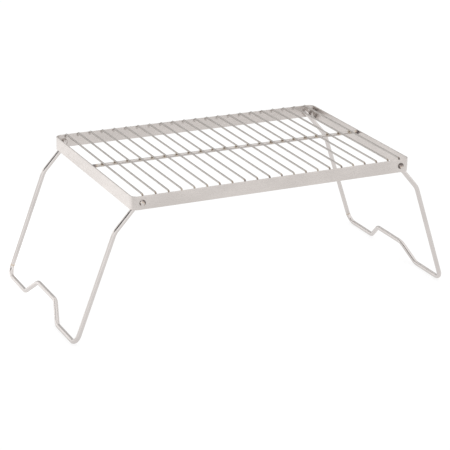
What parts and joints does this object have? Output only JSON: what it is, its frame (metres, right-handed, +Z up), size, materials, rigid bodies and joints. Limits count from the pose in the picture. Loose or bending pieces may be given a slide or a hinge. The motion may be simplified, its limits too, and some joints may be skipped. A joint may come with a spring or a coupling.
{
  "type": "folding camp grill",
  "caption": "Rectangular flat-bar grill top with parallel wires and a cross rod, standing on two splayed wire legs that pivot in the frame and fold flat beneath it.",
  "frame": {"origin": "on the ground under the middle of the open grill", "axes": "+X along the long side of the frame, towards the right leg; +Z up; -Y is the front, the side nearest the viewer"},
  "size_m": [0.6232, 0.3054, 0.22],
  "materials": {
    "band_steel": "satin, rolled flat bar",
    "wire_steel": "satin drawn wire",
    "rod_steel": "bright drawn rod",
    "leg_steel": "bright drawn wire"
  },
  "bodies": {
    "frame": {"frame_band": "band_steel", "grid_wire_01": "wire_steel", "grid_wire_02": "wire_steel", "grid_wire_03": "wire_steel", "grid_wire_04": "wire_steel", "grid_wire_05": "wire_steel", "grid_wire_06": "wire_steel", "grid_wire_07": "wire_steel", "grid_wire_08": "wire_steel", "grid_wire_09": "wire_steel", "grid_wire_10": "wire_steel", "grid_wire_11": "wire_steel", "grid_wire_12": "wire_steel", "grid_wire_13": "wire_steel", "grid_wire_14": "wire_steel", "grid_wire_15": "wire_steel", "grid_wire_16": "wire_steel", "grid_wire_17": "wire_steel", "grid_wire_18": "wire_steel", "grid_wire_19": "wire_steel", "grid_wire_20": "wire_steel", "grid_wire_21": "wire_steel", "grid_wire_22": "wire_steel", "cross_rod": "rod_steel"},
    "left_leg": {"left_leg": "leg_steel"},
    "right_leg": {"right_leg": "leg_steel"}
  },
  "joints": [
    {"name": "left_leg_fold", "type": "hinge", "parent": "frame", "child": "left_leg", "pos_m": [-0.2115, 0, 0.2072], "axis": [0, -1, 0], "range_deg": [0, 112]},
    {"name": "right_leg_fold", "type": "hinge", "parent": "frame", "child": "right_leg", "pos_m": [0.2115, 0, 0.2072], "axis": [0, 1, 0], "range_deg": [0, 115]}
  ]
}
